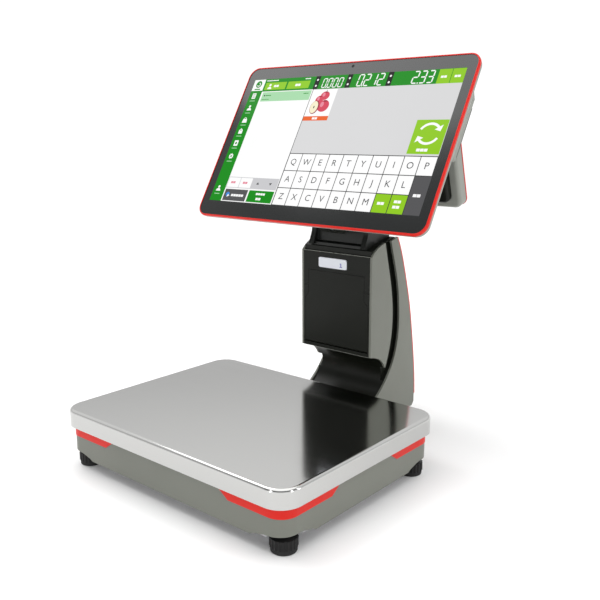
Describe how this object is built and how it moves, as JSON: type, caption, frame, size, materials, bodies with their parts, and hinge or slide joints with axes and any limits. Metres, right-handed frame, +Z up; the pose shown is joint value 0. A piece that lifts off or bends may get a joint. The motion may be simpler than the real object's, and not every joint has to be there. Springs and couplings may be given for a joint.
{
  "type": "retail price scale",
  "caption": "Countertop label scale: stainless platter on a footed base, column with label printer, leaning touchscreen and a smaller customer display behind it.",
  "frame": {"origin": "on the counter under the middle of the whole machine's footprint, in the mid-plane", "axes": "+X to the operator's right, +Y away from the operator towards the customer, +Z up"},
  "size_m": [0.374, 0.4499, 0.5021],
  "materials": {
    "stainless": "brushed satin",
    "cast_steel": "powder coat",
    "aluminium": "machined",
    "bright_steel": "zinc plated",
    "black_steel": "satin powder coat",
    "grey_shell": "fine texture",
    "red_trim": "gloss",
    "black_plastic": "satin",
    "knob_plastic": "moulded",
    "light_grey": "satin",
    "rubber": "matte",
    "screen_glass": "polished",
    "lcd_panel": "satin",
    "circuit_board": "solder mask",
    "label_paper": "paper",
    "white_key": "gloss",
    "level_body": "clear tinted"
  },
  "bodies": {
    "base": {"base_frame": "cast_steel", "base_skirt": "grey_shell", "bottom_plate": "bright_steel", "bubble_level": "level_body", "camera_housing": "black_plastic", "camera_lens": "screen_glass", "column_core": "black_plastic", "column_trims": "red_trim", "corner_strips": "red_trim", "door_frame": "black_plastic", "door_pin": "bright_steel", "feed_motor": "bright_steel", "io_panel": "black_plastic", "load_cell": "aluminium", "m6_bolts": "bright_steel", "mast": "bright_steel", "neck_yoke": "black_steel", "platter_spider": "cast_steel", "print_head": "black_steel", "printer_chassis": "bright_steel", "printer_cheek_left": "grey_shell", "printer_cheek_right": "grey_shell", "printer_fascia": "black_plastic", "rear_cover": "black_plastic", "side_plate_left": "grey_shell", "side_plate_right": "grey_shell", "spider_pads": "rubber", "tilt_pin": "bright_steel", "weighing_board": "circuit_board"},
    "platter": {"platter": "stainless"},
    "display": {"display_rim": "red_trim", "display_glass": "screen_glass", "display_lcd": "lcd_panel", "display_shell": "light_grey", "hump_cover": "black_plastic", "main_board": "circuit_board", "tilt_bracket": "black_steel", "rear_arm": "black_steel", "rear_pin": "bright_steel"},
    "power_button": {"power_button": "black_plastic"},
    "rear_display": {"rear_display_rim": "red_trim", "rear_display_glass": "screen_glass", "rear_display_shell": "light_grey", "rear_display_panel": "lcd_panel", "rear_display_cover": "black_plastic"},
    "door": {"printer_door": "black_plastic"},
    "platen": {"platen_roller": "rubber", "platen_shaft": "bright_steel"},
    "pinion": {"motor_pinion": "bright_steel"},
    "paper": {"paper_roll": "label_paper", "roll_spindle": "black_plastic"},
    "release_key": {"release_key": "white_key"},
    "foot_sole_1": {"foot_sole_1": "rubber"},
    "foot_knob_1": {"foot_knob_1": "knob_plastic"},
    "foot_sole_2": {"foot_sole_2": "rubber"},
    "foot_knob_2": {"foot_knob_2": "knob_plastic"},
    "foot_sole_3": {"foot_sole_3": "rubber"},
    "foot_knob_3": {"foot_knob_3": "knob_plastic"},
    "foot_sole_4": {"foot_sole_4": "rubber"},
    "foot_knob_4": {"foot_knob_4": "knob_plastic"}
  },
  "joints": [
    {"name": "platter_lift", "type": "slide", "parent": "base", "child": "platter", "axis": [0, 0, 1], "range_m": [0, 0.04]},
    {"name": "foot_1_height", "type": "slide", "parent": "base", "child": "foot_sole_1", "axis": [0, 0, 1], "range_m": [-0.006, 0.002]},
    {"name": "foot_1_turn", "type": "hinge", "parent": "foot_sole_1", "child": "foot_knob_1", "pos_m": [-0.1635, 0.035, 0.01], "axis": [0, 0, 1], "range_deg": [-1730, 577]},
    {"name": "foot_2_height", "type": "slide", "parent": "base", "child": "foot_sole_2", "axis": [0, 0, 1], "range_m": [-0.006, 0.002]},
    {"name": "foot_2_turn", "type": "hinge", "parent": "foot_sole_2", "child": "foot_knob_2", "pos_m": [0.1635, 0.035, 0.01], "axis": [0, 0, 1], "range_deg": [-1730, 577]},
    {"name": "foot_3_height", "type": "slide", "parent": "base", "child": "foot_sole_3", "axis": [0, 0, 1], "range_m": [-0.006, 0.002]},
    {"name": "foot_3_turn", "type": "hinge", "parent": "foot_sole_3", "child": "foot_knob_3", "pos_m": [-0.1635, -0.2, 0.01], "axis": [0, 0, 1], "range_deg": [-1730, 577]},
    {"name": "foot_4_height", "type": "slide", "parent": "base", "child": "foot_sole_4", "axis": [0, 0, 1], "range_m": [-0.006, 0.002]},
    {"name": "foot_4_turn", "type": "hinge", "parent": "foot_sole_4", "child": "foot_knob_4", "pos_m": [0.1635, -0.2, 0.01], "axis": [0, 0, 1], "range_deg": [-1730, 577]},
    {"name": "display_tilt", "type": "hinge", "parent": "base", "child": "display", "pos_m": [0, 0.09588, 0.32841], "axis": [1, 0, 0], "range_deg": [-15, 25]},
    {"name": "power_button_press", "type": "slide", "parent": "display", "child": "power_button", "axis": [0, 0.5045, 0.8634], "range_m": [0, 0.0012], "stiffness_N_per_m": 1500, "springref_m": -0.0005},
    {"name": "rear_display_tilt", "type": "hinge", "parent": "display", "child": "rear_display", "pos_m": [0, 0.1503, 0.39606], "axis": [1, 0, 0], "range_deg": [-10, 10]},
    {"name": "door_drop", "type": "hinge", "parent": "base", "child": "door", "pos_m": [0, 0.0962, 0.121], "axis": [1, 0, 0], "range_deg": [0, 85]},
    {"name": "platen_spin", "type": "hinge", "parent": "door", "child": "platen", "pos_m": [0, 0.104, 0.212], "axis": [1, 0, 0], "continuous": true},
    {"name": "pinion_spin", "type": "hinge", "parent": "base", "child": "pinion", "pos_m": [0.042, 0.11096, 0.19995], "axis": [1, 0, 0], "continuous": true},
    {"name": "paper_spin", "type": "hinge", "parent": "base", "child": "paper", "pos_m": [0, 0.122, 0.146], "axis": [1, 0, 0], "continuous": true},
    {"name": "release_key_press", "type": "slide", "parent": "base", "child": "release_key", "axis": [0, 1, 0], "range_m": [0, 0.002], "stiffness_N_per_m": 1500, "springref_m": -0.0005}
  ],
  "couplings": [
    {"joint": "foot_1_turn", "follows": "foot_1_height", "rad_per_m": 5026.5},
    {"joint": "foot_2_turn", "follows": "foot_2_height", "rad_per_m": 5026.5},
    {"joint": "foot_3_turn", "follows": "foot_3_height", "rad_per_m": 5026.5},
    {"joint": "foot_4_turn", "follows": "foot_4_height", "rad_per_m": 5026.5},
    {"joint": "pinion_spin", "follows": "platen_spin", "ratio": -1}
  ]
}
